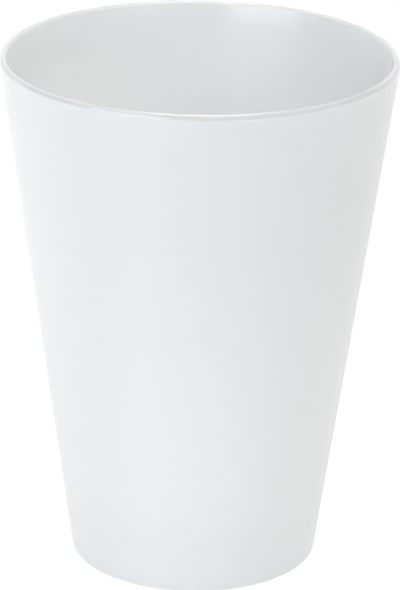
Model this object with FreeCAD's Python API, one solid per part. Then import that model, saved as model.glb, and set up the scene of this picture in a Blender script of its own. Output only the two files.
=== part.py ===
# Tapered drinking cup, injection moulded in one piece from polypropylene.
#
# Millimetres, +Z up. The origin is the centre of the circle that the cup stands on.
# The cup is one section revolved about Z. Short ribs inside, at the bottom, hold the next
# cup of a stack by its foot, so that the two walls do not wedge together.
import FreeCAD, Part
import math
import os

# Overall sizes
rim_diameter = 90.0             # outside, at the widest point of the rim
height = 120.0                  # from the table to the top of the rim
base_diameter = 57.0            # outside, where the line of the wall meets the table
wall = 1.8                      # square to the wall, the same from the heel to the lip

# Lip: near the top the wall thins on its inner side, and ends in a nose that is taller than wide
lip_thickness = 1.6             # where the nose starts
lip_height = 4.2                # from the top of the rim down to where the wall starts to thin
nose_radius = 0.5               # of the arc on top of the nose
shoulder_radius = 1.6           # of the longer arc down each side of the nose

# Floor and standing ring
floor_thickness = 1.8
floor_corner_radius = 4.0       # inside, between floor and wall
foot_height = 3.0               # from the table to the underside of the floor
foot_width = 2.0                # of the standing ring, on the table
foot_draft = 5.0                # degrees, on the inner side of the standing ring
foot_root_bevel = 0.8           # between the standing ring and the underside of the floor
foot_edge_bevel = 0.3           # inner edge of the standing ring
heel_radius = 0.5               # outer edge of the standing ring

# Gate mark in the middle of the underside
dimple_diameter = 8.0
dimple_depth = 0.4
gate_diameter = 2.0
gate_height = 0.25

# Ribs that carry the foot of the next cup in a stack
nest_gap = 0.6                  # left all round between the walls of two nested cups
rib_count = 6
rib_width = 1.0
rib_draft = 1.5                 # degrees, so that the core of the mould draws upwards
rib_nose_radius = 0.4           # upper inner edge of a rib

# A longer arc of the section is drawn in equal pieces, which keeps its facets few and even.
longest_arc = 55.0              # degrees

# Two lengths that differ by less than this are the same.
same = 0.001


def point(x, z):
    """Point, or direction, in the plane of the section."""
    return FreeCAD.Vector(x, 0, z)


def direction(angle):
    """Direction in the plane of the section, at an angle above the horizontal."""
    return point(math.cos(angle), math.sin(angle))


# The nose of the rim. Each shoulder meets the top arc at shoulder_angle, with no corner, and
# stands upright where the lip has its full thickness.
shoulder_angle = math.acos((shoulder_radius - lip_thickness / 2) / (shoulder_radius - nose_radius))
nose_centre = point((rim_diameter - lip_thickness) / 2, height - nose_radius)
to_outer = direction(math.pi + shoulder_angle) * (shoulder_radius - nose_radius)
to_inner = direction(-shoulder_angle) * (shoulder_radius - nose_radius)
outer_shoulder_centre = nose_centre + to_outer
inner_shoulder_centre = nose_centre + to_inner


def touching_draft(start, shoulder_centre, side):
    """Draft of the line from start that just touches a shoulder, on its outer (1) or inner (-1) side."""
    reach = shoulder_centre - start
    return math.atan2(reach.x, reach.z) + side * math.asin(shoulder_radius / reach.Length)


heel = point(base_diameter / 2, 0)
draft = touching_draft(heel, outer_shoulder_centre, 1)
wall_across = wall / math.cos(draft)


def inner_wall(z):
    """Point of the inner wall at height z, below the lip."""
    return point(heel.x + z * math.tan(draft) - wall_across, z)


lip_start = inner_wall(height - lip_height)
lip_draft = touching_draft(lip_start, inner_shoulder_centre, -1)

floor_underside = foot_height
floor_top = foot_height + floor_thickness
foot_inner_edge = point(base_diameter / 2 - foot_width, 0)
foot_root = foot_inner_edge + point(-math.tan(math.radians(foot_draft)), 1) * foot_height

# Height from one cup of a stack to the next, and so the top of the ribs
stack_pitch = (wall_across + nest_gap) / math.tan(draft)


class Pen:
    """Draws an outline in the plane of the section, one stretch after another."""

    def __init__(self, start):
        self.at = start
        self.edges = []

    def line(self, *corners):
        """Straight on through the corners."""
        for corner in corners:
            self.edges.append(Part.LineSegment(self.at, corner).toShape())
            self.at = corner

    def arc(self, centre, radius, start, end):
        """Straight on to an arc, unless the pen is already there, and along it from angle to angle."""
        first = centre + direction(start) * radius
        if not first.isEqual(self.at, same):
            self.line(first)
        pieces = math.ceil(abs(end - start) / math.radians(longest_arc))
        step = (end - start) / pieces
        for i in range(pieces):
            middle = centre + direction(start + step * (i + 0.5)) * radius
            last = centre + direction(start + step * (i + 1)) * radius
            self.edges.append(Part.Arc(self.at, middle, last).toShape())
            self.at = last

    def bevel(self, corner, after, size):
        """Cuts off the corner between the pen and the point after it."""
        back = (self.at - corner).normalize()
        on = (after - corner).normalize()
        self.line(corner + back * size, corner + on * size)

    def fillet(self, corner, after, radius):
        """Rounds the corner between the pen and the point after it."""
        back = (self.at - corner).normalize()
        on = (after - corner).normalize()
        half = back.getAngle(on) / 2
        centre = corner + (back + on).normalize() * (radius / math.sin(half))
        first = corner + back * (radius / math.tan(half)) - centre
        last = corner + on * (radius / math.tan(half)) - centre
        start = math.atan2(first.z, first.x)
        turn = math.remainder(math.atan2(last.z, last.x) - start, 2 * math.pi)
        self.arc(centre, radius, start, start + turn)


def section():
    """Half section of the cup, as a face in the XZ plane, drawn from the gate mark outwards."""
    gate = point(0, floor_underside + dimple_depth - gate_height)
    gate_radius = gate_diameter / 2
    dimple_radius = dimple_diameter / 2
    dimple_top = floor_underside + dimple_depth
    nose_start = outer_shoulder_centre + direction(-draft) * shoulder_radius
    floor_middle = point(0, floor_top)

    pen = Pen(gate)
    pen.line(point(gate_radius, gate.z), point(gate_radius, dimple_top))
    pen.line(point(dimple_radius, dimple_top), point(dimple_radius, floor_underside))
    pen.bevel(foot_root, foot_inner_edge, foot_root_bevel)
    pen.bevel(foot_inner_edge, heel, foot_edge_bevel)
    pen.fillet(heel, nose_start, heel_radius)
    pen.arc(outer_shoulder_centre, shoulder_radius, -draft, shoulder_angle)
    pen.arc(nose_centre, nose_radius, shoulder_angle, math.pi - shoulder_angle)
    pen.arc(inner_shoulder_centre, shoulder_radius, math.pi - shoulder_angle, math.pi - lip_draft)
    pen.line(lip_start)
    pen.fillet(inner_wall(floor_top), floor_middle, floor_corner_radius)
    pen.line(floor_middle, gate)
    return Part.Face(Part.Wire(pen.edges))


def rib():
    """One stacking rib, at angle zero. Its root lies in the middle of the wall and of the floor."""
    root_z = floor_top - floor_thickness / 2
    into_wall = point(wall_across / 2, 0)
    edge_top = point(foot_inner_edge.x, stack_pitch)
    lean = point(-math.tan(math.radians(rib_draft)), -1) * (stack_pitch - root_z)
    corners = [
        edge_top,
        inner_wall(stack_pitch) + into_wall,
        inner_wall(root_z) + into_wall,
        edge_top + lean,
    ]
    outline = Part.Face(Part.makePolygon(corners + corners[:1]))
    outline.translate(FreeCAD.Vector(0, -rib_width / 2, 0))
    fin = outline.extrude(FreeCAD.Vector(0, rib_width, 0))
    nose = [e for e in fin.Edges if all(abs(v.X - edge_top.x) < same for v in e.Vertexes)]
    return fin.makeFillet(rib_nose_radius, nose)


def ribs():
    """All the stacking ribs, evenly spaced."""
    fins = []
    for i in range(rib_count):
        fin = rib()
        fin.rotate(FreeCAD.Vector(0, 0, 0), FreeCAD.Vector(0, 0, 1), 360 / rib_count * i)
        fins.append(fin)
    return fins


cup = section().revolve(FreeCAD.Vector(0, 0, 0), FreeCAD.Vector(0, 0, 1), 360).fuse(ribs())
if len(cup.Solids) != 1 or not cup.isValid():
    raise ValueError("the cup is not one sound solid")
cup = cup.Solids[0]

os.makedirs("parts", exist_ok=True)
cup.exportStep("parts/cup.step")
print("cup: %.2f cm3 of plastic, stack pitch %.2f mm" % (cup.Volume / 1000, stack_pitch))
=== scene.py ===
"""A moulded drinking cup: its visible surface, its plastic, a small studio and the camera.

Metres, +Z up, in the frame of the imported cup. The visible cup is one closed skin, made ring by
ring from the cup's section, with the stacking ribs raised out of its inner side.
"""

import math

import bpy
from bpy.props import FloatProperty, FloatVectorProperty, IntProperty, PointerProperty
from mathutils import Matrix, Vector


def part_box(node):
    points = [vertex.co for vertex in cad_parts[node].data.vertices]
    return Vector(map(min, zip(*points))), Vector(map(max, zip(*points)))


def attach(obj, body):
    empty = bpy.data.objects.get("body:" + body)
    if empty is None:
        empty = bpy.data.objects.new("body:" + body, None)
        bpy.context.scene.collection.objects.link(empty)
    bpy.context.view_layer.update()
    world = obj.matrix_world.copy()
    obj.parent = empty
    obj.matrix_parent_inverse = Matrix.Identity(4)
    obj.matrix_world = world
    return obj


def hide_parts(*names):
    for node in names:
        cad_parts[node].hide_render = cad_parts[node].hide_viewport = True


bl_info = {
    "name": "Moulded drinking cup",
    "version": (1, 0, 0),
    "blender": (4, 5, 0),
    "location": "3D View > Sidebar > Cup",
    "description": "Makes a translucent moulded cup around its packed frame, with a studio and a camera",
    "category": "Add Mesh",
}

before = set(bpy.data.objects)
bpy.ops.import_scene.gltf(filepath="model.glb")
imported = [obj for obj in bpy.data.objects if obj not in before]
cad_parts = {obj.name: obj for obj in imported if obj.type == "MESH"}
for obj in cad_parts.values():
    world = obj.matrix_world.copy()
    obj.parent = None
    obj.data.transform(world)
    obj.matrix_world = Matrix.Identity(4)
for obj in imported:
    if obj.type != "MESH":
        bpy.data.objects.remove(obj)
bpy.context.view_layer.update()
CUP_LOW, CUP_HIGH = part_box("cup")
MM = 0.001


# ---------------------------------------------------------------- sizes, colours and lamps

class CupSizes(bpy.types.PropertyGroup):
    """The cup's section and its ribs."""

    height: FloatProperty(
        name="Height", description="From the table to the top of the rim",
        default=CUP_HIGH.z, unit="LENGTH")
    rim_radius: FloatProperty(
        name="Rim radius", description="Outside, at the widest point of the rim",
        default=CUP_HIGH.x, unit="LENGTH")
    base_radius: FloatProperty(
        name="Base radius", description="Where the line of the wall meets the table",
        default=28.5 * MM, unit="LENGTH")
    wall: FloatProperty(
        name="Wall", description="Thickness of the wall below the lip",
        default=1.8 * MM, unit="LENGTH")
    lip_thickness: FloatProperty(
        name="Lip thickness", description="Thickness of the wall where the nose of the rim starts",
        default=1.6 * MM, unit="LENGTH")
    nose_radius: FloatProperty(
        name="Nose radius", description="Of the arc on top of the rim",
        default=0.5 * MM, unit="LENGTH")
    shoulder_radius: FloatProperty(
        name="Shoulder radius", description="Of the longer arc down each side of the rim's nose",
        default=1.6 * MM, unit="LENGTH")
    lip_height: FloatProperty(
        name="Lip height", description="From the top of the rim down to where the wall starts to thin",
        default=4.2 * MM, unit="LENGTH")
    floor_thickness: FloatProperty(
        name="Floor thickness", description="Thickness of the cup's floor",
        default=1.8 * MM, unit="LENGTH")
    floor_corner: FloatProperty(
        name="Floor corner", description="Radius inside, between floor and wall",
        default=4.0 * MM, unit="LENGTH")
    foot_height: FloatProperty(
        name="Foot height", description="From the table to the underside of the floor",
        default=3.0 * MM, unit="LENGTH")
    foot_width: FloatProperty(
        name="Foot width", description="Width of the standing ring on the table",
        default=2.0 * MM, unit="LENGTH")
    foot_draft: FloatProperty(
        name="Foot draft", description="Slope of the inner side of the standing ring",
        default=math.radians(5), subtype="ANGLE")
    foot_root_bevel: FloatProperty(
        name="Foot root bevel", description="Between the standing ring and the underside of the floor",
        default=0.8 * MM, unit="LENGTH")
    foot_edge_bevel: FloatProperty(
        name="Foot edge bevel", description="Inner edge of the standing ring",
        default=0.3 * MM, unit="LENGTH")
    heel_radius: FloatProperty(
        name="Heel radius", description="Rounding of the outer edge of the standing ring",
        default=0.5 * MM, unit="LENGTH")
    dimple_radius: FloatProperty(
        name="Dimple radius", description="Of the shallow dimple in the middle of the underside",
        default=4.0 * MM, unit="LENGTH")
    dimple_depth: FloatProperty(
        name="Dimple depth", description="Depth of the dimple round the gate mark",
        default=0.4 * MM, unit="LENGTH")
    gate_radius: FloatProperty(
        name="Gate radius", description="Of the gate mark in the dimple",
        default=1.0 * MM, unit="LENGTH")
    gate_height: FloatProperty(
        name="Gate height", description="How far the gate mark stands out of the dimple",
        default=0.25 * MM, unit="LENGTH")
    nest_gap: FloatProperty(
        name="Nest gap", description="Left between the walls of two cups in a stack",
        default=0.6 * MM, unit="LENGTH")
    rib_count: IntProperty(
        name="Ribs", description="Number of stacking ribs",
        default=6, min=0)
    rib_width: FloatProperty(
        name="Rib width", description="Width of a stacking rib",
        default=1.0 * MM, unit="LENGTH")
    rib_draft: FloatProperty(
        name="Rib draft", description="Slope of a rib's inner edge",
        default=math.radians(1.5), subtype="ANGLE")
    rib_nose: FloatProperty(
        name="Rib nose", description="Rounding of a rib's upper inner edge",
        default=0.4 * MM, unit="LENGTH")
    columns: IntProperty(
        name="Columns", description="Faces round the cup between the ribs, for one whole turn",
        default=264, min=24)


class CupPlastic(bpy.types.PropertyGroup):
    """The finish of the plastic."""

    colour: FloatVectorProperty(
        name="Colour", description="Colour of the plastic seen in bulk",
        subtype="COLOR", size=3, default=(0.87, 0.87, 0.87), min=0, max=1)
    cloud: FloatProperty(
        name="Clouding", description="How much the tone drifts where the melt flowed",
        subtype="FACTOR", default=0.012, min=0, max=1)
    # Painted shade: how much the rim's outer shoulder is darkened in the colour, standing in for the shade
    # and dark reflection that fall there.
    edge: FloatProperty(
        name="Painted rim shade", description="How much deeper the tone is on the outer shoulder of the rim",
        subtype="FACTOR", default=0.2, min=0, max=1)
    depth: FloatProperty(
        name="Light depth", description="How far light wanders in the plastic before it comes out",
        default=4.0 * MM, unit="LENGTH")
    index: FloatProperty(
        name="Refractive index", description="Of polypropylene",
        default=1.49)
    gloss: FloatProperty(
        name="Gloss", description="Strength of the reflections, where 0.5 is what the index alone gives",
        subtype="FACTOR", default=1.0, min=0, max=1)
    satin: FloatProperty(
        name="Satin", description="Roughness of the outer wall and the underside",
        subtype="FACTOR", default=0.38, min=0, max=1)
    polish: FloatProperty(
        name="Polish", description="Roughness of the inside",
        subtype="FACTOR", default=0.23, min=0, max=1)
    rim_polish: FloatProperty(
        name="Rim polish", description="Roughness of the outer shoulder of the rim",
        subtype="FACTOR", default=0.1, min=0, max=1)
    turning: FloatProperty(
        name="Turning", description="How far the fine marks of the turned mould draw reflections out",
        subtype="FACTOR", default=0.9, min=0, max=1)
    turning_way: FloatProperty(
        name="Turning way", description="Way in which they are drawn out, as a share of a whole turn",
        subtype="FACTOR", default=0.25, min=0, max=1)
    grain: FloatProperty(
        name="Grain", description="Depth of the fine grain that the mould leaves outside",
        default=0.004 * MM, unit="LENGTH")


class StudioLamps(bpy.types.PropertyGroup):
    """The lamps, the table and the surroundings. A brightness of 1 shows as white."""

    key: FloatProperty(
        name="Key", description="Brightness of the softbox at the front left",
        default=2.51, min=0)
    key_colour: FloatVectorProperty(
        name="Key colour", description="Colour of the softbox at the front left",
        subtype="COLOR", size=3, default=(0.925, 1.0, 1.045), min=0, max=2)
    top: FloatProperty(
        name="Top", description="Brightness of the softbox above the cup",
        default=5.3, min=0)
    top_colour: FloatVectorProperty(
        name="Top colour", description="Colour of the softbox above the cup",
        subtype="COLOR", size=3, default=(1.02, 1.0, 0.975), min=0, max=2)
    front: FloatProperty(
        name="Front", description="Brightness of the high softbox in front",
        default=1.03, min=0)
    front_colour: FloatVectorProperty(
        name="Front colour", description="Colour of the high softbox in front",
        subtype="COLOR", size=3, default=(0.91, 1.0, 1.08), min=0, max=2)
    right: FloatProperty(
        name="Right", description="Brightness of the high softbox at the right",
        default=1.16, min=0)
    right_colour: FloatVectorProperty(
        name="Right colour", description="Colour of the high softbox at the right",
        subtype="COLOR", size=3, default=(1.03, 1.0, 0.97), min=0, max=2)
    back: FloatProperty(
        name="Back", description="Brightness of the softbox behind the cup",
        default=1.3, min=0)
    side: FloatProperty(
        name="Side", description="Brightness of the low softbox at the left, a little behind the cup",
        default=0.97, min=0)
    backdrop: FloatProperty(
        name="Backdrop", description="Brightness of the backdrop in the cup's reflections",
        default=0.72, min=0)
    table_colour: FloatVectorProperty(
        name="Table", description="Colour of the table",
        subtype="COLOR", size=3, default=(0.86, 0.86, 0.86), min=0, max=1)
    table_glow: FloatProperty(
        name="Table glow", description="Brightness of the table where it is lit from below",
        default=1.0, min=0)
    table_white: FloatProperty(
        name="Table whiteness", description="Share of plain white in the table as it is seen near the cup",
        subtype="FACTOR", default=0.92, min=0, max=1)


class CupCamera(bpy.types.PropertyGroup):
    """Where the camera stands and how it looks."""

    distance: FloatProperty(
        name="Distance", description="From the middle of the cup",
        default=0.7889, unit="LENGTH")
    elevation: FloatProperty(
        name="Elevation", description="Of the camera above the middle of the cup",
        default=math.radians(21.04), subtype="ANGLE")
    roll: FloatProperty(
        name="Roll", description="How far the camera leans to the left",
        default=math.radians(0.86), subtype="ANGLE")
    lens: FloatProperty(
        name="Lens", description="Focal length, for a sensor 36 mm on its long side",
        default=208.1, unit="CAMERA")
    aim_right: FloatProperty(
        name="Aim right", description="How far to the right of the cup's middle the camera aims",
        default=0.777 * MM, unit="LENGTH")
    aim_up: FloatProperty(
        name="Aim up", description="How far above the cup's middle the camera aims",
        default=1.952 * MM, unit="LENGTH")


# ---------------------------------------------------------------- the section

HOLD = 0.15 * MM        # how near a row of points stands to a corner, to keep its shading crisp
ROW = 5.0 * MM          # between the rows of points along the wall
ARC_STEP = math.radians(7.5)
RIB_CLOSING = 0.02 * MM     # height over which the top of a rib closes
RIB_NOSE_STEP = 15          # degrees, between the rows of points round a rib's nose
RIB_FOOT = 0.03 * MM        # how far the foot of a rib's side lies from its crest, along the wall
RIM_SHADE_REACH = 0.85       # how far down the rim's painted shade, and its higher polish, reach outside, in shoulder radii
RIM_SHADE_SOFT = 3.0         # how quickly it ends there
RIM_SHADE_INSIDE = 0.2       # share of the painted shade, and of the higher polish, on the inner half of the rim
CRISP = math.radians(28)    # an edge that bends more than this is shown crisp
MAP_MARGIN = 0.002          # left free at both ends of the flat map


def touching_draft(start, centre, radius, side):
    """Slope of the line from start that just touches an arc, on its outer (1) or inner (-1) side."""
    reach = centre - start
    return math.atan2(reach.x, reach.y) + side * math.asin(radius / reach.length)


def arc(centre, radius, start, end):
    """Points of an arc from one angle to another, with its ends."""
    steps = max(3, round(abs(end - start) / ARC_STEP))
    angles = [start + (end - start) * i / steps for i in range(steps + 1)]
    return [centre + Vector((math.cos(a), math.sin(a))) * radius for a in angles]


def straight(start, end):
    """Points along a straight stretch, without its ends: one near each end, the rest evenly spaced."""
    length = (end - start).length
    along = (end - start) / length
    if length < 4 * HOLD:
        return []
    steps = max(1, round((length - 2 * HOLD) / ROW))
    return [start + along * (HOLD + (length - 2 * HOLD) * i / steps) for i in range(steps + 1)]


def fillet(corner, before, after, radius):
    """Points of the arc that rounds a corner between two straight stretches, with its ends."""
    back, on = (before - corner).normalized(), (after - corner).normalized()
    half = back.angle(on) / 2
    centre = corner + (back + on).normalized() * (radius / math.sin(half))
    first = corner + back * (radius / math.tan(half)) - centre
    last = corner + on * (radius / math.tan(half)) - centre
    start = math.atan2(first.y, first.x)
    turn = math.remainder(math.atan2(last.y, last.x) - start, 2 * math.pi)
    return arc(centre, radius, start, start + turn)


class Section:
    """The cup's half section: its sizes, and the rows of points from the gate mark round to the floor."""

    def __init__(self, s):
        self.sizes = s
        between = s.shoulder_radius - s.nose_radius
        self.shoulder_angle = math.acos((s.shoulder_radius - s.lip_thickness / 2) / between)
        self.nose = Vector((s.rim_radius - s.lip_thickness / 2, s.height - s.nose_radius))
        across = Vector((math.cos(self.shoulder_angle) * between, 0))
        down = Vector((0, -math.sin(self.shoulder_angle) * between))
        self.outer_shoulder = self.nose - across + down
        self.inner_shoulder = self.nose + across + down
        self.heel = Vector((s.base_radius, 0))
        self.draft = touching_draft(self.heel, self.outer_shoulder, s.shoulder_radius, 1)
        self.wall_across = s.wall / math.cos(self.draft)
        self.lip_start = Vector((self.inner(s.height - s.lip_height), s.height - s.lip_height))
        self.lip_draft = touching_draft(self.lip_start, self.inner_shoulder, s.shoulder_radius, -1)
        self.floor_top = s.foot_height + s.floor_thickness
        self.ring_inner = s.base_radius - s.foot_width
        self.rib_top = (self.wall_across + s.nest_gap) / math.tan(self.draft)

    def inner(self, z):
        """Radius of the inner wall at height z, below the lip."""
        return self.sizes.base_radius + z * math.tan(self.draft) - self.wall_across

    def rim(self):
        """Points of the rim's nose, from the outer wall over the top to the lip."""
        s = self.sizes
        meet = self.shoulder_angle
        outer = arc(self.outer_shoulder, s.shoulder_radius, -self.draft, meet)
        top = arc(self.nose, s.nose_radius, meet, math.pi - meet)
        inner = arc(self.inner_shoulder, s.shoulder_radius, math.pi - meet, math.pi - self.lip_draft)
        return outer + top[1:-1] + inner

    def rib_edge(self, z):
        """Radius of a rib's inner edge at height z, or None above the ribs."""
        s = self.sizes
        below = self.rib_top - z
        if below < 0:
            return None
        edge = self.ring_inner - below * math.tan(s.rib_draft)
        if below < s.rib_nose:
            edge += s.rib_nose - math.sqrt(s.rib_nose ** 2 - (s.rib_nose - below) ** 2)
        return edge

    def underside(self):
        """Points from the middle of the gate mark to the outer edge of the heel's rounding."""
        s = self.sizes
        root = self.ring_inner - s.foot_height * math.tan(s.foot_draft)
        slope = Vector((math.sin(s.foot_draft), -math.cos(s.foot_draft)))
        root_corner = Vector((root, s.foot_height))
        edge_corner = Vector((self.ring_inner, 0))
        dimple_top = s.foot_height + s.dimple_depth
        gate_end = dimple_top - s.gate_height
        corners = [
            Vector((0, gate_end)),
            Vector((s.gate_radius, gate_end)),
            Vector((s.gate_radius, dimple_top)),
            Vector((s.dimple_radius, dimple_top)),
            Vector((s.dimple_radius, s.foot_height)),
            root_corner - Vector((s.foot_root_bevel, 0)),
            root_corner + slope * s.foot_root_bevel,
            edge_corner - slope * s.foot_edge_bevel,
            edge_corner + Vector((s.foot_edge_bevel, 0)),
        ]
        points = corners[:1]
        for start, end in zip(corners, corners[1:]):
            points += straight(start, end) + [end]
        wall_end = self.heel + Vector((math.sin(self.draft), math.cos(self.draft)))
        heel = fillet(self.heel, corners[-1], wall_end, s.heel_radius)
        return points + straight(points[-1], heel[0]) + heel

    def inside(self):
        """Points from below the lip's rounding down the inner wall to the middle of the floor."""
        s = self.sizes
        corner = Vector((self.inner(self.floor_top), self.floor_top))
        middle = Vector((0, self.floor_top))
        bend = fillet(corner, self.lip_start, middle, s.floor_corner)
        wall = self.rib_rows(straight(self.lip_start, bend[0]))
        return [self.lip_start] + wall + bend + straight(bend[-1], middle) + [middle]

    def rib_rows(self, wall):
        """The wall's points, with rows added that close the tops of the ribs and round their noses."""
        s = self.sizes
        heights = [p.y for p in wall if not -2 * s.rib_nose < p.y - self.rib_top < s.rib_nose]
        heights += [self.rib_top + HOLD, self.rib_top + RIB_CLOSING]
        turns = [math.radians(a) for a in range(0, 91, RIB_NOSE_STEP)]
        heights += [self.rib_top - s.rib_nose * (1 - math.cos(turn)) for turn in turns]
        return [Vector((self.inner(z), z)) for z in sorted(heights, reverse=True)]

    def rows(self):
        """All the points, and for each its finish, 0 satin or 1 polished, and its share of the painted rim
        shade.
        """
        under, rim, inside = self.underside(), self.rim(), self.inside()
        outer_wall = straight(under[-1], rim[0])
        lip = straight(rim[-1], self.lip_start)
        before = under + outer_wall
        after = lip + inside
        polish = [0.0] * (len(before) + 1) + [1.0] * (len(rim) - 1 + len(after))
        # Each row's share of the rim's painted shade, which also sets where the rim is most polished.
        edge = [0.0] * len(before) + [self.edge(p) for p in rim] + [0.0] * len(after)
        return before + rim + after, polish, edge

    def edge(self, point):
        """Share of the painted shade on the rim, which also sets where the rim is most polished: 1 on the
        rim's outer shoulder, less inside, 0 below the shoulder.
        """
        s = self.sizes
        down = (s.height - point.y) / (s.shoulder_radius * RIM_SHADE_REACH)
        out = min(1.0, max(0.0, (point.x - self.nose.x) / s.nose_radius))
        return min(1.0, max(0.0, RIM_SHADE_SOFT * (1 - down))) * (RIM_SHADE_INSIDE + (1 - RIM_SHADE_INSIDE) * out)


# ---------------------------------------------------------------- the mesh

def cup_columns(section):
    """Angles of the mesh's columns, and for each whether it lies on the crest of a rib."""
    s = section.sizes
    middle_of_rib = (section.inner(section.rib_top) + section.ring_inner) / 2
    half = s.rib_width / 2 / middle_of_rib
    foot = half + RIB_FOOT / middle_of_rib
    count = max(1, s.rib_count)
    pitch = 2 * math.pi / count
    between = round(s.columns / count)
    angles, crest = [], []
    for rib in range(count):
        start = rib * pitch
        on_rib = [(-foot, False), (-half, True), (0.0, True), (half, True), (foot, False)]
        if not s.rib_count:
            on_rib = [(0.0, False)]
        last = on_rib[-1][0]
        gap = pitch - 2 * last
        spaced = [(last + gap * i / between, False) for i in range(1, between)]
        for angle, is_crest in on_rib + spaced:
            angles.append(start + angle)
            crest.append(is_crest)
    return angles, crest


def cup_mesh(sizes):
    """The closed skin of the cup as a mesh, with the attributes "polish" and "edge" on its points; "edge"
    carries the rim's painted shade and where the rim is most polished.
    """
    section = Section(sizes)
    rows, finish, rim_shading = section.rows()
    angles, crest = cup_columns(section)
    count = len(angles)

    verts, polish, rim_shade_share = [], [], []
    # tone: each row's share of the painted shade on the rim.
    for point, shine, tone in zip(rows[1:-1], finish[1:-1], rim_shading[1:-1]):
        on_inner_wall = shine == 1.0 and point.x > section.ring_inner / 2
        edge = section.rib_edge(point.y) if on_inner_wall else None
        for angle, is_crest in zip(angles, crest):
            radius = min(point.x, edge) if edge is not None and is_crest else point.x
            verts.append((radius * math.cos(angle), radius * math.sin(angle), point.y))
            polish.append(shine)
            rim_shade_share.append(tone)
    verts += [(0, 0, rows[0].y), (0, 0, rows[-1].y)]
    polish += [finish[0], finish[-1]]
    rim_shade_share += [rim_shading[0], rim_shading[-1]]

    # Each face comes with its corners' places on the flat map: round the cup, and along the section.
    along = section_lengths(rows)
    around = [(angle - angles[0]) / (2 * math.pi) for angle in angles] + [1.0]
    faces, flat = [], []
    for ring in range(len(rows) - 3):
        low, high = ring * count, (ring + 1) * count
        v_low, v_high = along[ring + 1], along[ring + 2]
        for column in range(count):
            after = (column + 1) % count
            left, right = around[column], around[column + 1]
            faces.append((low + column, low + after, high + after, high + column))
            flat += [(left, v_low), (right, v_low), (right, v_high), (left, v_high)]
    last = (len(rows) - 3) * count
    for column in range(count):
        after = (column + 1) % count
        left, right = around[column], around[column + 1]
        middle = (left + right) / 2
        faces.append((len(verts) - 2, after, column))
        flat += [(middle, along[0]), (right, along[1]), (left, along[1])]
        faces.append((last + column, last + after, len(verts) - 1))
        flat += [(left, along[-2]), (right, along[-2]), (middle, along[-1])]

    mesh = bpy.data.meshes.new("cup_skin")
    mesh.from_pydata(verts, [], faces)
    mesh.attributes.new("polish", "FLOAT", "POINT").data.foreach_set("value", polish)
    mesh.attributes.new("edge", "FLOAT", "POINT").data.foreach_set("value", rim_shade_share)
    flat_map = mesh.uv_layers.new(name="OFBake")
    flat_map.data.foreach_set("uv", [value for corner in flat for value in corner])
    mesh.shade_smooth()
    mesh.set_sharp_from_angle(angle=CRISP)
    return mesh


def section_lengths(rows):
    """How far along the section each row of points lies, from 0 to 1, a little inside both ends."""
    lengths = [0.0]
    for a, b in zip(rows, rows[1:]):
        lengths.append(lengths[-1] + (b - a).length)
    return [MAP_MARGIN + (1 - 2 * MAP_MARGIN) * length / lengths[-1] for length in lengths]


# ---------------------------------------------------------------- shader maths

class Socket:
    """One output of a shader node, so that maths on it can be written as maths."""

    def __init__(self, tree, output):
        self.tree, self.output = tree, output

    def maths(self, operation, a, b):
        return self.tree.node("ShaderNodeMath", {"operation": operation}, [a, b])

    def __add__(self, other):
        return self.maths("ADD", self, other)

    def __sub__(self, other):
        return self.maths("SUBTRACT", self, other)

    def __rsub__(self, other):
        return self.maths("SUBTRACT", other, self)

    def __mul__(self, other):
        return self.maths("MULTIPLY", self, other)

    __radd__ = __add__
    __rmul__ = __mul__


class Shader:
    """A material's or the world's node tree, emptied and ready to be filled."""

    def __init__(self, owner):
        owner.use_nodes = True
        self.nodes, self.links = owner.node_tree.nodes, owner.node_tree.links
        self.nodes.clear()

    def node(self, kind, settings=None, values=None, output=0):
        """Adds a node: its settings first, then its sockets' values or links. Returns one output."""
        node = self.nodes.new(kind)
        for name, value in (settings or {}).items():
            setattr(node, name, value)
        pairs = values.items() if isinstance(values, dict) else enumerate(values or [])
        for key, value in pairs:
            if isinstance(value, Socket):
                self.links.new(value.output, node.inputs[key])
            else:
                node.inputs[key].default_value = value
        return Socket(self, node.outputs[output]) if node.outputs else node

    def mix_colours(self, factor, a, b):
        """One colour blended into another."""
        settings = {"data_type": "RGBA"}
        return self.node("ShaderNodeMix", settings, {0: factor, 6: a, 7: b}, output=2)

    def fade(self, value, start, end):
        """1 up to the start, 0 from the end on, and a soft step between them."""
        settings = {"interpolation_type": "SMOOTHSTEP"}
        return 1 - self.node("ShaderNodeMapRange", settings, [value, start, end])

    def noise(self, place, scale, detail=3.0, roughness=0.5):
        """Noise from 0 to 1, with so many cells to the metre."""
        values = {"Vector": place, "Scale": scale, "Detail": detail, "Roughness": roughness}
        return self.node("ShaderNodeTexNoise", {"noise_dimensions": "3D"}, values)


# ---------------------------------------------------------------- materials

FLOW_CELLS = 28.0       # cells to the metre: the drift of tone where the melt flowed
GRAIN_CELLS = 2600.0    # the fine grain outside
WIPE_CELLS = 90.0       # the uneven polish of the mould
GRAIN_UNEVEN = 0.08     # how much the roughness varies with the grain
WIPE_UNEVEN = 0.06      # how much the satin varies with the polish of the mould
POLISH_UNEVEN = 0.05    # how much the polished sides vary with it


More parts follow.
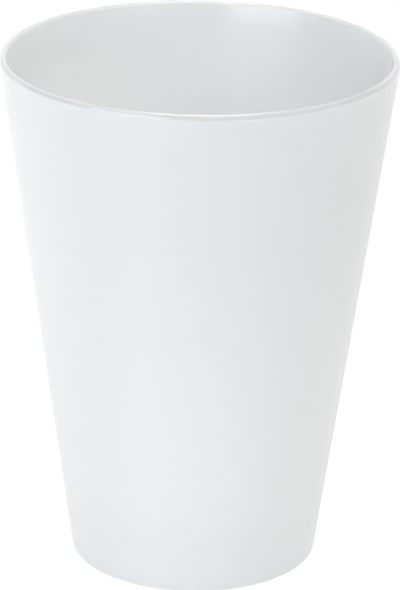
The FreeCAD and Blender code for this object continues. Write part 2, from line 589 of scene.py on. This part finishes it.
def moulded_plastic(p):
    """Translucent white plastic: satin where the mould is grained, polished inside and on the rim, with
    painted shade on the rim's outer shoulder.
    """
    material = bpy.data.materials.new("moulded_plastic")
    t = Shader(material)
    place = t.node("ShaderNodeTexCoord", output=3)
    polish = t.node("ShaderNodeAttribute", {"attribute_name": "polish"}, output=2)
    # The "edge" attribute: where the rim's outer shoulder gets painted shade in its colour, and its higher
    # polish.
    edge = t.node("ShaderNodeAttribute", {"attribute_name": "edge"}, output=2)

    flow = t.noise(place, FLOW_CELLS, detail=2.0)
    grain = t.noise(place, GRAIN_CELLS, detail=2.0)
    wipe = t.noise(place, WIPE_CELLS, detail=4.0, roughness=0.6)

    pale = tuple(min(1.0, c * (1 + p.cloud)) for c in p.colour) + (1,)
    deep = tuple(c * (1 - p.cloud) for c in p.colour) + (1,)
    # Painted shade: the base colour darkens on the rim's outer shoulder, standing in for the shade and
    # dark reflection that fall there.
    painted_rim_shade = tuple(c * (1 - p.edge) for c in p.colour) + (1,)
    colour = t.mix_colours(edge, t.mix_colours(flow, deep, pale), painted_rim_shade)
    satin = p.satin + (grain - 0.5) * GRAIN_UNEVEN + (wipe - 0.5) * WIPE_UNEVEN
    polished = p.polish + edge * (p.rim_polish - p.polish) + (wipe - 0.5) * POLISH_UNEVEN
    roughness = polished * polish + satin * (1 - polish)
    bump = t.node("ShaderNodeBump", {}, {
        "Strength": 1.0, "Distance": p.grain, "Height": grain * (1 - polish)})
    plastic = t.node("ShaderNodeBsdfPrincipled", {"subsurface_method": "RANDOM_WALK"}, {
        "Base Color": colour,
        "Roughness": roughness,
        "IOR": p.index,
        "Specular IOR Level": p.gloss,
        "Anisotropic": p.turning,
        "Anisotropic Rotation": p.turning_way,
        "Subsurface Weight": 1.0,
        "Subsurface Radius": (1.0, 1.0, 1.0),
        "Subsurface Scale": p.depth,
        "Normal": bump,
    })
    t.node("ShaderNodeOutputMaterial", {}, {"Surface": plastic})
    return material


# Where the light table glows: the middle of each patch, its radius and its share of the brightness.
# The two small patches lie beside the foot.
GLOW = [
    ((0.0, 0.05, 0.0), 0.3, 0.2),
    ((0.0, 0.16, 0.0), 0.22, 1.1),
    ((0.0, -0.18, 0.0), 0.18, 0.8),
    ((-0.35, 0.1, 0.0), 0.3, 2.4),
    ((0.3, 0.0, 0.0), 0.25, 1.2),
    ((0.055, -0.04, 0.0), 0.05, 0.18),
    ((-0.055, -0.035, 0.0), 0.05, 0.18),
]
SHADOW_REACH = 0.12     # how far from the cup's axis the table still shows its shadow
TABLE_HALF = 4.0        # half the side of the table
TABLE_GAP = 0.02 * MM   # left between the foot and the table
BACKDROP_FADE = (0.3, 0.6)  # where its sides and its top start and end to fade: slopes of the look


def seen_directly(t, outputs=("Is Camera Ray", "Is Glossy Ray", "Is Transmission Ray")):
    """1 for what the camera, a reflection or a clear material sees, 0 for light that is scattered."""
    seen = None
    for output in outputs:
        ray = t.node("ShaderNodeLightPath", output=output)
        seen = ray if seen is None else t.node("ShaderNodeMath", {"operation": "MAXIMUM"}, [seen, ray])
    return seen


def table_top(lamps):
    """A light table: pale and matt, glowing behind the cup, and near white where it is seen."""
    material = bpy.data.materials.new("table_top")
    t = Shader(material)
    matt = t.node("ShaderNodeBsdfDiffuse", {}, {"Color": tuple(lamps.table_colour) + (1,)})
    place = t.node("ShaderNodeTexCoord", output=3)
    brightness = 0.0
    for middle, radius, share in GLOW:
        away = t.node("ShaderNodeVectorMath", {"operation": "DISTANCE"}, [place, middle], output=1)
        brightness = t.fade(away, 0.0, radius) * (share * lamps.table_glow) + brightness
    glow = t.node("ShaderNodeEmission", {}, {"Color": (1, 1, 1, 1), "Strength": brightness})
    lit = t.node("ShaderNodeAddShader", {}, [matt, glow])
    from_cup = t.node("ShaderNodeVectorMath", {"operation": "LENGTH"}, [place], output=1)
    plain = 1 - t.fade(from_cup, CUP_HIGH.x, SHADOW_REACH) * (1 - lamps.table_white)
    white = t.node("ShaderNodeEmission", {}, {"Color": (1, 1, 1, 1), "Strength": 1.0})
    shown = t.node("ShaderNodeMixShader", {}, [seen_directly(t) * plain, lit, white])
    t.node("ShaderNodeOutputMaterial", {}, {"Surface": shown})
    return material


def surroundings(lamps):
    """White where it is seen, a backdrop behind the table in the reflections, and else a dark room."""
    world = bpy.data.worlds.new("surroundings")
    bpy.context.scene.world = world
    t = Shader(world)
    toward = t.node("ShaderNodeTexCoord", output=0)
    back = t.node("ShaderNodeSeparateXYZ", {}, [toward], output=1)
    up = t.node("ShaderNodeSeparateXYZ", {}, [toward], output=2)
    backdrop = (1 - t.fade(back, *BACKDROP_FADE)) * t.fade(up, *BACKDROP_FADE)
    reflected = t.node("ShaderNodeLightPath", output="Is Glossy Ray")
    seen = seen_directly(t, ("Is Camera Ray", "Is Transmission Ray"))
    strength = seen + (1 - seen) * (reflected * backdrop * lamps.backdrop)
    shown = t.node("ShaderNodeBackground", {}, {"Color": (1, 1, 1, 1), "Strength": strength})
    t.node("ShaderNodeOutputWorld", {}, {"Surface": shown})


# ---------------------------------------------------------------- operators

class CUP_OT_make_cup(bpy.types.Operator):
    """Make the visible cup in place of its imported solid"""

    bl_idname = "cup.make_cup"
    bl_label = "Make the cup"

    def execute(self, context):
        scene = context.scene
        cup = bpy.data.objects.new("moulded_cup", cup_mesh(scene.cup_sizes))
        scene.collection.objects.link(cup)
        cup.data.materials.append(moulded_plastic(scene.cup_plastic))
        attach(cup, "root")
        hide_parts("cup")
        return {"FINISHED"}


WHITE = (1.0, 1.0, 1.0)
CUP_MIDDLE = Vector((0, 0, CUP_HIGH.z / 2))


def round_cup(azimuth, elevation, distance):
    """A place round the middle of the cup: azimuth 0 is in front, 90 at the right."""
    a, e = math.radians(azimuth), math.radians(elevation)
    toward = Vector((math.sin(a) * math.cos(e), -math.cos(a) * math.cos(e), math.sin(e)))
    return CUP_MIDDLE + toward * distance


# The softboxes: name, width, height, place, and whether reflections show it. The ones that
# reflections don't show only fill the room with light.
SOFTBOXES = [
    ("key", 0.82, 0.5, round_cup(-40, 16, 1.0), True),
    ("top", 0.65, 0.65, Vector((0, 0, 1.2)), True),
    ("front", 1.3, 0.8, round_cup(10, 52, 1.1), False),
    ("right", 1.3, 0.8, round_cup(80, 52, 1.1), False),
    ("back", 1.0, 0.6, round_cup(180, 15, 1.0), False),
    ("side", 0.9, 0.5, round_cup(-125, 12, 1.0), False),
]


def add_softbox(name, brightness, colour, width, height, place, reflected):
    """A flat lamp of even brightness that lights the middle of the cup and that the camera doesn't see."""
    data = bpy.data.lights.new(name + "_softbox", "AREA")
    data.shape = "RECTANGLE"
    data.size, data.size_y = width, height
    data.energy = brightness * math.pi * width * height
    data.color = colour
    lamp = bpy.data.objects.new(name + "_softbox", data)
    lamp.location = place
    lamp.rotation_euler = (CUP_MIDDLE - place).to_track_quat("-Z", "Y").to_euler()
    lamp.visible_camera = False
    lamp.visible_glossy = reflected
    bpy.context.scene.collection.objects.link(lamp)


class CUP_OT_make_studio(bpy.types.Operator):
    """Make the table, the surroundings and the lamps"""

    bl_idname = "cup.make_studio"
    bl_label = "Make the studio"

    def execute(self, context):
        lamps = context.scene.studio_lamps
        mesh = bpy.data.meshes.new("table")
        corners = [(-1, -1), (1, -1), (1, 1), (-1, 1)]
        level = CUP_LOW.z - TABLE_GAP
        mesh.from_pydata([(x * TABLE_HALF, y * TABLE_HALF, level) for x, y in corners], [], [(0, 1, 2, 3)])
        table = bpy.data.objects.new("table", mesh)
        table.data.materials.append(table_top(lamps))
        context.scene.collection.objects.link(table)

        for name, width, height, place, reflected in SOFTBOXES:
            brightness = getattr(lamps, name)
            colour = getattr(lamps, name + "_colour", WHITE)
            add_softbox(name, brightness, colour, width, height, place, reflected)
        surroundings(lamps)
        return {"FINISHED"}


SENSOR_WIDTH = 36.0     # millimetres, the long side of the sensor


class CUP_OT_make_camera(bpy.types.Operator):
    """Make the camera and set how the picture is shown"""

    bl_idname = "cup.make_camera"
    bl_label = "Make the camera"

    def execute(self, context):
        scene = context.scene
        c = scene.cup_camera
        forward = Vector((0, math.cos(c.elevation), -math.sin(c.elevation)))
        level_right = Vector((1, 0, 0))
        level_up = level_right.cross(forward)
        right = level_right * math.cos(c.roll) + level_up * math.sin(c.roll)
        up = level_up * math.cos(c.roll) - level_right * math.sin(c.roll)
        middle = (CUP_LOW + CUP_HIGH) / 2
        place = middle - forward * c.distance
        aim = middle + right * c.aim_right + up * c.aim_up
        back = (place - aim).normalized()
        right = up.cross(back).normalized()
        up = back.cross(right)

        data = bpy.data.cameras.new("camera")
        data.lens = c.lens
        data.sensor_width = SENSOR_WIDTH
        data.clip_start, data.clip_end = 0.01, 50.0
        camera = bpy.data.objects.new("camera", data)
        turn = Matrix((right, up, back)).transposed().to_4x4()
        camera.matrix_world = Matrix.Translation(place) @ turn
        scene.collection.objects.link(camera)
        scene.camera = camera
        scene.view_settings.view_transform = "Standard"
        return {"FINISHED"}


class CUP_PT_panel(bpy.types.Panel):
    """The cup's sizes and finish, and the buttons that make it"""

    bl_idname = "CUP_PT_panel"
    bl_label = "Moulded cup"
    bl_space_type = "VIEW_3D"
    bl_region_type = "UI"
    bl_category = "Cup"

    def draw(self, context):
        layout = self.layout
        for operator in OPERATORS:
            layout.operator(operator.bl_idname)
        for name, group in GROUPS.items():
            box = layout.box()
            settings = getattr(context.scene, name)
            for prop in group.__annotations__:
                box.prop(settings, prop)


GROUPS = {
    "cup_sizes": CupSizes,
    "cup_plastic": CupPlastic,
    "studio_lamps": StudioLamps,
    "cup_camera": CupCamera,
}
OPERATORS = (CUP_OT_make_cup, CUP_OT_make_studio, CUP_OT_make_camera)


def register():
    """Makes the settings, the buttons and the panel known, and hangs the settings on the scene."""
    for group in GROUPS.values():
        bpy.utils.register_class(group)
    for operator in OPERATORS:
        bpy.utils.register_class(operator)
    bpy.utils.register_class(CUP_PT_panel)
    for name, group in GROUPS.items():
        setattr(bpy.types.Scene, name, PointerProperty(type=group))


def unregister():
    """Takes them away again."""
    for name in GROUPS:
        delattr(bpy.types.Scene, name)
    bpy.utils.unregister_class(CUP_PT_panel)
    for operator in reversed(OPERATORS):
        bpy.utils.unregister_class(operator)
    for group in reversed(GROUPS.values()):
        bpy.utils.unregister_class(group)


def main():
    """Makes the cup, the studio and the camera."""
    register()
    bpy.ops.cup.make_cup()
    bpy.ops.cup.make_studio()
    bpy.ops.cup.make_camera()


if __name__ == "__main__":
    main()
